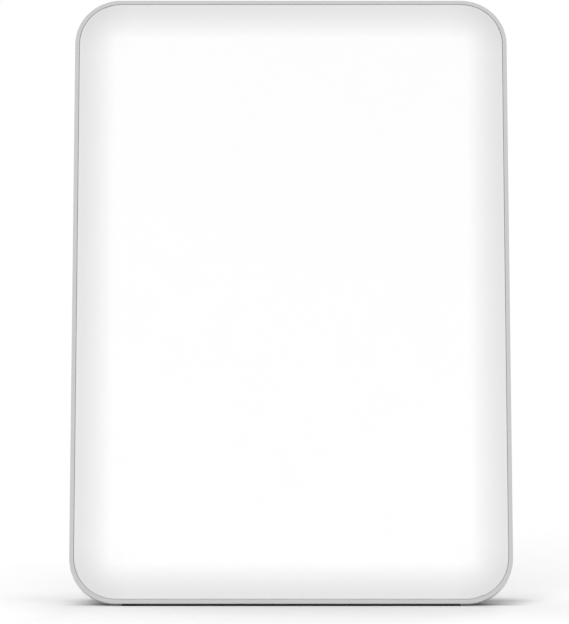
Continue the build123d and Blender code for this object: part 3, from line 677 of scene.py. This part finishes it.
# ---- Push switch ----
# A small switch in black epoxy, soldered to its board. A pressed cover of tinned steel holds it
# together round its plunger.
cover_half, cover_hole, cover_bevel, cover_around = 2.9, 1.95, 0.15, 64
cover_foot, cover_edge, cover_top = -0.05, 0.05, 0.2  # from the switch's back
switch_middle, switch_back = back_of("push_switch")
# Round the hole the cover is turned, and its outline is a square: a radius of its half width over
# the larger of |cos a| and |sin a|.
cover_angle = np.arange(cover_around) * 2 * pi / cover_around
cover_square = cover_half / np.maximum(np.abs(np.cos(cover_angle)), np.abs(np.sin(cover_angle)))
cover = turned(
    [
        (cover_hole, switch_back + cover_foot),
        (cover_hole, switch_back + cover_top),
        (cover_square - cover_bevel, switch_back + cover_top),
        (cover_square, switch_back + cover_edge),
        (cover_square, switch_back + cover_foot),
        (cover_hole, switch_back + cover_foot),
    ],
    around=cover_around,
)
add_piece("switch_cover", [copies(cover, [switch_middle])], tin)


# ---- Connectors ----
# Moulded housings of natural nylon, a milky cream, that the leads' crimped ends snap into. They
# stand on the driver board and on the switch board.
nylon = grained_finish(
    "nylon_natural", "#E2DFD2", "#EAE8DD", 0.4, 1.0 * mm, 0.01 * mm, ior=1.53
)
dress(nylon, "led_connector", "switch_connector", "switch_socket")


# ---- Power inlet ----
# A barrel socket moulded in black nylon and soldered to the driver board. Its turned brass pin is
# nickel-plated and bright.
inlet_nylon = grained_finish(
    "nylon_black", "#101010", "#181818", 0.42, 0.7 * mm, 0.01 * mm, ior=1.53
)
dress(inlet_nylon, "power_inlet")
dress(metal("brass_nickel_plated", "#B9B6AF", "#D0CEC8", 0.2, 0.3 * mm), "inlet_pin")


# ---- Leads ----
# Round two-core leads in black PVC, extruded over their wires and laid from board to board. The
# PVC has a soft gloss and a slight waviness.
lead_pvc = grained_finish("pvc_lead_black", "#131313", "#1B1B1B", 0.38, 2.0 * mm, 0.04 * mm)
dress(lead_pvc, "led_lead", "switch_lead")


# ---- Rear case ----
# One injection moulding of off-white ABS with a spark-eroded grain, tapered to leave the tool. It
# carries the vents, the screw wells and the leg's recess. The grain is drawn 1.4 mm wide, about
# three times its real size, so that it shows.
case_abs = grained_finish(
    "abs_spark_grain_white", "#D6D6D6", "#DEDEDD", 0.50, 1.4 * mm, 0.5 * mm
)
dress(case_abs, "rear_case")


# ---- Polarity sign ----
# Pad-printed in matt grey on the case above the inlet: a minus and a plus, each in a ring, joined
# by lines to an open ring and to the dot at its centre.
ink = grained_finish("pad_printed_grey", "#66676A", "#707174", 0.6, 0.8 * mm, 0.01 * mm)
sign_rise, line_half, ink_half, arc_sides = 10.85, 0.17, 0.05, 48
sign_pole, pole_ring, pole_stroke, open_ring, dot, dot_overlap = 4.2, 1.3, 0.7, 1.5, 0.5, 0.1
sign_middle = back_of("power_inlet")[0] + (0, sign_rise)
case_back = back_of("rear_case")[1]


def line(points):
    """An ink line of even width: a bar along (x, y) points of the sign, with its side square to
    the way along them."""
    path = np.column_stack((points, np.full(len(points), case_back)))
    along = np.gradient(path, axis=0)
    side = np.stack((-along[:, 1], along[:, 0], along[:, 2]), 1)
    side *= line_half / np.linalg.norm(along, axis=1)[:, None]
    return copies(bar(path, side, (0, 0, ink_half)), [sign_middle])


def arc(x, radius, start, end):
    """Points of an arc about (x, 0), from one angle to another: x + r cos a, r sin a."""
    angle = np.radians(np.linspace(start, end, arc_sides + 1))
    return np.column_stack((x + radius * np.cos(angle), radius * np.sin(angle)))


dot_profile = [
    (0, case_back + ink_half),
    (dot, case_back + ink_half),
    (dot, case_back - ink_half),
    (0, case_back - ink_half),
]
add_piece(
    "polarity_sign",
    [
        line(arc(-sign_pole, pole_ring, 0, 360)),
        line([(-sign_pole - pole_stroke, 0), (-sign_pole + pole_stroke, 0)]),
        line([(-sign_pole + pole_ring, 0), (-open_ring, 0)]),
        line(arc(0, open_ring, 40, 320)),
        copies(turned(dot_profile, around=32), [sign_middle]),
        line([(dot - dot_overlap, 0), (sign_pole - pole_ring, 0)]),
        line(arc(sign_pole, pole_ring, 0, 360)),
        line([(sign_pole - pole_stroke, 0), (sign_pole + pole_stroke, 0)]),
        line([(sign_pole, -pole_stroke), (sign_pole, pole_stroke)]),
    ],
    ink,
)


# ---- Power button ----
# A cap moulded in mid grey ABS, held under the case by its flange, with the sunk power symbol that
# the tool leaves in it. Its face is a finer satin than the case.
button_abs = grained_finish("abs_satin_mid_grey", "#9A9B9D", "#A2A3A5", 0.4, 0.8 * mm, 0.03 * mm)
dress(button_abs, "power_button")


# ---- Screws ----
# Cold-headed steel screws under a bright zinc plating with a fine grain. They hold the heat plate,
# the boards, the spring and the leg.
zinc = metal("steel_zinc_plated", "#A9ACAF", "#C4C7C9", 0.32, 0.3 * mm)
dress(
    zinc,
    "case_screws",
    "driver_board_screws",
    "switch_board_screws",
    "detent_spring_screw",
    "pivot_screw_left",
    "pivot_screw_right",
)


# ---- Rubber strip and foot ----
# Extruded black TPE under the lower edge and a moulded black pad on the leg's end, both pressed
# into their seats. The surface is matt, with a faint drag along its length. The strip's near-black
# also stands in for the contact shadow under the lower edge: painted shade.
drag_length, drag_width, drag_depth = 12.0 * mm, 0.8 * mm, 0.08 * mm
rubber, rubber_tree, rubber_shader = start_material("tpe_black_and_painted_contact_shadow", 0.72, ior=1.52)
rubber_space = add(rubber_tree, "ShaderNodeTexCoord").outputs["Object"]
rubber_drag = add(
    rubber_tree,
    "ShaderNodeMapping",
    {"Vector": rubber_space, "Scale": (1 / drag_length, 1 / drag_width, 1 / drag_width)},
)
rubber_grain = add(
    rubber_tree, "ShaderNodeTexNoise", {"Vector": rubber_drag.outputs[0], "Scale": 1.0}
)
# painted shade: near-black, so that the strip also gives the contact shadow under the lamp's edge
rubber_and_contact_shadow_tone = add(
    rubber_tree,
    "ShaderNodeMix",
    {"Factor": rubber_grain.outputs["Fac"], "A": linear("#020202"), "B": linear("#070707")},
    data_type="RGBA",
)
rubber_bump = add(
    rubber_tree,
    "ShaderNodeBump",
    {"Height": rubber_grain.outputs["Fac"], "Strength": 0.4, "Distance": drag_depth},
)
rubber_shader.inputs["Specular IOR Level"].default_value = 0.05
rubber_tree.links.new(rubber_and_contact_shadow_tone.outputs["Result"], rubber_shader.inputs["Base Color"])
rubber_tree.links.new(rubber_bump.outputs["Normal"], rubber_shader.inputs["Normal"])
dress(rubber, "front_foot_strip", "stand_foot")


# ---- Fold-out leg ----
# A ribbed moulding of the same ABS as the case, a shade darker and with the same spark-eroded
# grain. It swings out of its recess on two screws.
leg_abs = grained_finish("abs_spark_grain_grey", "#C9C9CA", "#D1D1D1", 0.48, 1.4 * mm, 0.5 * mm)
dress(leg_abs, "stand_leg")


# ---- Detent spring ----
# A leaf stamped from rolled spring steel and screwed down in the leg's recess. It is bare metal,
# with the lines of its rolling.
dress(metal("steel_spring_rolled", "#8F9193", "#B2B4B6", 0.28, 0.2 * mm), "detent_spring")


# ---- Table ----
# A plain white table, with soft shadows painted into it along the lamp's front edge. Its colour for
# the camera's own rays is above white, so that it goes out to white away from the lamp and keeps
# the lamp's shadow.
def seen(tree):
    """One for the camera's rays and for what gloss and clear pieces show, zero for light."""
    rays = add(tree, "ShaderNodeLightPath")
    by_eye = add(
        tree,
        "ShaderNodeMath",
        {0: rays.outputs["Is Camera Ray"], 1: rays.outputs["Is Glossy Ray"]},
        operation="MAXIMUM",
    )
    return add(
        tree,
        "ShaderNodeMath",
        {0: by_eye.outputs[0], 1: rays.outputs["Is Transmission Ray"]},
        operation="MAXIMUM",
    ).outputs[0]


table_half, fade_start, fade_end = 8000 * mm, 150 * mm, 500 * mm
corners = np.array([[-1, -1, 0], [1, -1, 0], [1, 1, 0], [-1, 1, 0]]) * table_half
floor_mesh = bpy.data.meshes.new("table")
floor_mesh.from_pydata(corners.tolist(), [], [(0, 1, 2, 3)])
floor = bpy.data.objects.new("table", floor_mesh)
bpy.context.scene.collection.objects.link(floor)
table = bpy.data.materials.new("table_white_matt")
table.use_nodes = True
table_tree = table.node_tree
table_tree.nodes.clear()
table_seen = seen(table_tree)
table_space = add(table_tree, "ShaderNodeTexCoord").outputs["Object"]
table_place = add(table_tree, "ShaderNodeSeparateXYZ", {"Vector": table_space})


def reach(centre, half, middle, across, ahead):
    """How far a place is from a line on the table, in reaches across and ahead of it: the length
    of (max(|x - centre| - half, 0) / across, (y - middle) / ahead), all in millimetres."""
    from_centre = add(
        table_tree,
        "ShaderNodeMath",
        {0: table_place.outputs["X"], 1: centre * mm},
        operation="SUBTRACT",
    )
    aside = add(table_tree, "ShaderNodeMath", {0: from_centre.outputs[0]}, operation="ABSOLUTE")
    past = add(
        table_tree, "ShaderNodeMath", {0: aside.outputs[0], 1: half * mm}, operation="SUBTRACT"
    )
    outer = add(table_tree, "ShaderNodeMath", {0: past.outputs[0], 1: 0.0}, operation="MAXIMUM")
    forward = add(
        table_tree,
        "ShaderNodeMath",
        {0: table_place.outputs["Y"], 1: middle * mm},
        operation="SUBTRACT",
    )
    offset = add(
        table_tree, "ShaderNodeCombineXYZ", {"X": outer.outputs[0], "Y": forward.outputs[0]}
    )
    scaled = add(
        table_tree,
        "ShaderNodeVectorMath",
        {0: offset.outputs[0], 1: (1 / (across * mm), 1 / (ahead * mm), 1.0)},
        operation="MULTIPLY",
    )
    length = add(table_tree, "ShaderNodeVectorMath", {0: scaled.outputs[0]}, operation="LENGTH")
    return length.outputs["Value"]


# Painted shadow: each soft shade along the lamp's front edge takes away its depth times one minus
# a smooth step of its reach.
table_level = 1.167
for centre, half, middle, across, ahead, depth in (
    (69, 48, -124, 279, 69, 0.177),  # broad, to the right
    (2, 23, -67, 243, 68, 0.296),  # broad, under the middle
    (7, 104, -60, 40, 23, 0.483),  # close under the edge
    (3, 111, -75, 29, 8.3, 0.374),  # sharp, in front of the edge
):
    shade = add(
        table_tree,
        "ShaderNodeMapRange",
        {
            "Value": reach(centre, half, middle, across, ahead),
            "To Min": depth,
            "To Max": 0.0,
        },
        interpolation_type="SMOOTHSTEP",
    )
    table_level = add(
        table_tree, "ShaderNodeMath", {0: table_level, 1: shade.outputs[0]}, operation="SUBTRACT"
    ).outputs[0]
table_painted_shadow_grey = add(
    table_tree,
    "ShaderNodeCombineXYZ",
    {axis: table_level for axis in ("X", "Y", "Z")},
)
# painted shade: what the table sends back up is weak right under the lamp's front edge, where its
# colour for light is near black, which darkens the lamp's lower edge
bounce_low, bounce_high = 0.02, 0.88
bounce = add(
    table_tree,
    "ShaderNodeMapRange",
    {"Value": reach(5, 100, -76, 30, 7.8), "To Min": bounce_low, "To Max": bounce_high},
)
bounce_painted_shade_grey = add(
    table_tree,
    "ShaderNodeCombineXYZ",
    {axis: bounce.outputs[0] for axis in ("X", "Y", "Z")},
)
table_tone = add(
    table_tree,
    "ShaderNodeMix",
    {"Factor": table_seen, "A": bounce_painted_shade_grey.outputs[0], "B": table_painted_shadow_grey.outputs[0]},
    data_type="RGBA",
)
table_diffuse = add(table_tree, "ShaderNodeBsdfDiffuse", {"Color": table_tone.outputs["Result"]})
table_white = add(table_tree, "ShaderNodeEmission", {"Strength": 1.0})
table_distance = add(table_tree, "ShaderNodeVectorMath", {0: table_space}, operation="LENGTH")
fade = add(
    table_tree,
    "ShaderNodeMapRange",
    {"Value": table_distance.outputs["Value"], "From Min": fade_start, "From Max": fade_end},
    interpolation_type="SMOOTHSTEP",
)
faded = add(
    table_tree, "ShaderNodeMath", {0: fade.outputs[0], 1: table_seen}, operation="MULTIPLY"
)
table_surface = add(
    table_tree,
    "ShaderNodeMixShader",
    {"Fac": faded.outputs[0], 1: table_diffuse.outputs[0], 2: table_white.outputs[0]},
)
add(table_tree, "ShaderNodeOutputMaterial", {"Surface": table_surface.outputs[0]})
floor_mesh.materials.append(table)


# ---- Room and lamps ----
# An empty white room and three softboxes round the lamp, at a plain level at which a colour
# renders about as it is written.
room_on_lamp, room_white = 0.68, 1.0
world = bpy.data.worlds.new("room")
bpy.context.scene.world = world
world.use_nodes = True
room = world.node_tree
room.nodes.clear()
room_level = add(
    room,
    "ShaderNodeMapRange",
    {"Value": seen(room), "To Min": room_on_lamp, "To Max": room_white},
)
room_light = add(
    room,
    "ShaderNodeBackground",
    {"Color": linear("#FFFFFF"), "Strength": room_level.outputs[0]},
)
add(room, "ShaderNodeOutputWorld", {"Surface": room_light.outputs[0]})

lit_point = Vector((0.0, 0.0, 0.15))
for name, place, size, power in (
    ("softbox_left", (-2.8, -3.6, 3.2), 2.6, 58.0),
    ("softbox_right", (3.6, -2.4, 2.4), 2.2, 30.0),
    ("softbox_back", (1.6, 3.8, 3.4), 2.2, 46.0),
):
    light = bpy.data.lights.new(name, "AREA")
    light.size = size
    light.energy = power
    softbox = bpy.data.objects.new(name, light)
    softbox.location = place
    softbox.rotation_euler = (lit_point - Vector(place)).to_track_quat("-Z", "Y").to_euler()
    bpy.context.scene.collection.objects.link(softbox)

bpy.context.scene.view_settings.view_transform = "Standard"
